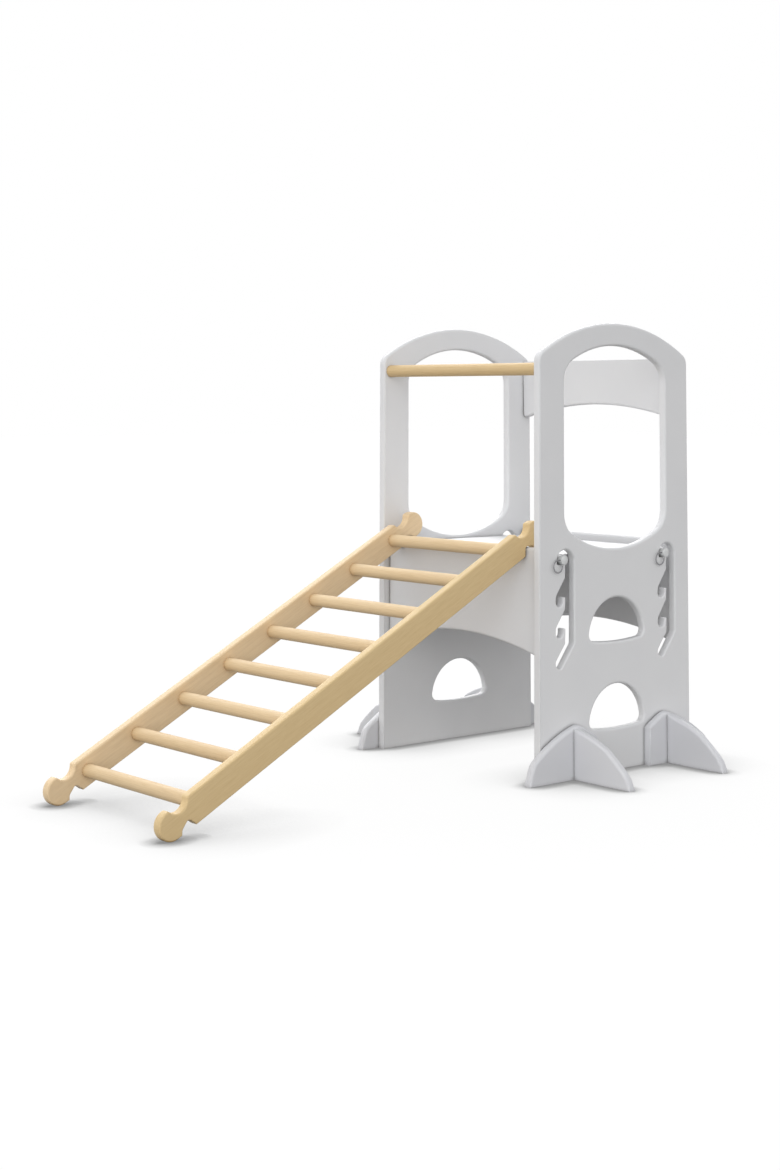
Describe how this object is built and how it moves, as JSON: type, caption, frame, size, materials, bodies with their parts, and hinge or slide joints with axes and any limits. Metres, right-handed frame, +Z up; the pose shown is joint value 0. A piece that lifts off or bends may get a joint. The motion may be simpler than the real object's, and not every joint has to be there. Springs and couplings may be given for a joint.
{
  "type": "toddler climbing tower with hook-on ladder",
  "caption": "Painted board climbing tower with arched windowed sides, pinned platform set at one of several heights, and a sloping wooden ladder hooked over its front board.",
  "frame": {"origin": "on the floor, under the middle of the whole outline", "axes": "+Z up; -X towards the ladder's foot, so +X from the ladder to the tower; +Y to the left of a child climbing the ladder"},
  "size_m": [1.377, 0.818, 0.92],
  "materials": {
    "painted_board": "satin light grey paint",
    "plain_wood": "clear satin lacquer",
    "plated_steel": "bright zinc plate"
  },
  "bodies": {
    "tower": {"side_panel_left": "painted_board", "side_panel_right": "painted_board", "front_skirt": "painted_board", "rear_skirt": "painted_board", "back_rail": "painted_board", "front_skirt_dowel_left_1": "plain_wood", "front_skirt_dowel_left_2": "plain_wood", "front_skirt_dowel_right_1": "plain_wood", "front_skirt_dowel_right_2": "plain_wood", "rear_skirt_dowel_left_1": "plain_wood", "rear_skirt_dowel_left_2": "plain_wood", "rear_skirt_dowel_right_1": "plain_wood", "rear_skirt_dowel_right_2": "plain_wood", "back_rail_dowel_left_1": "plain_wood", "back_rail_dowel_left_2": "plain_wood", "back_rail_dowel_right_1": "plain_wood", "back_rail_dowel_right_2": "plain_wood", "grab_bar": "plain_wood", "foot_plate_front_left": "painted_board", "foot_fin_front_left": "painted_board", "foot_plate_front_right": "painted_board", "foot_fin_front_right": "painted_board", "foot_plate_rear_left": "painted_board", "foot_fin_rear_left": "painted_board", "foot_plate_rear_right": "painted_board", "foot_fin_rear_right": "painted_board"},
    "platform": {"platform_board": "painted_board", "stub_pin_front_left": "plated_steel", "stub_pin_front_right": "plated_steel", "stub_pin_rear_left": "plated_steel", "stub_pin_rear_right": "plated_steel"},
    "clip_front_left": {"ring_clip_front_left": "plated_steel"},
    "clip_front_right": {"ring_clip_front_right": "plated_steel"},
    "clip_rear_left": {"ring_clip_rear_left": "plated_steel"},
    "clip_rear_right": {"ring_clip_rear_right": "plated_steel"},
    "ladder": {"ladder_rail_left": "plain_wood", "ladder_rail_right": "plain_wood", "rung_1": "plain_wood", "rung_2": "plain_wood", "rung_3": "plain_wood", "rung_4": "plain_wood", "rung_5": "plain_wood", "rung_6": "plain_wood", "rung_7": "plain_wood", "rung_8": "plain_wood"}
  },
  "joints": [
    {"name": "platform_slide", "type": "slide", "parent": "tower", "child": "platform", "axis": [1, 0, 0], "range_m": [0, 0.024]},
    {"name": "ring_clip_front_left_pull", "type": "slide", "parent": "platform", "child": "clip_front_left", "axis": [-1, 0, 0], "range_m": [0, 0.026]},
    {"name": "ring_clip_front_right_pull", "type": "slide", "parent": "platform", "child": "clip_front_right", "axis": [-1, 0, 0], "range_m": [0, 0.026]},
    {"name": "ring_clip_rear_left_pull", "type": "slide", "parent": "platform", "child": "clip_rear_left", "axis": [-1, 0, 0], "range_m": [0, 0.026]},
    {"name": "ring_clip_rear_right_pull", "type": "slide", "parent": "platform", "child": "clip_rear_right", "axis": [-1, 0, 0], "range_m": [0, 0.026]},
    {"name": "ladder_lift", "type": "slide", "parent": "tower", "child": "ladder", "axis": [0, 0, 1], "range_m": [0, 0.15]}
  ]
}
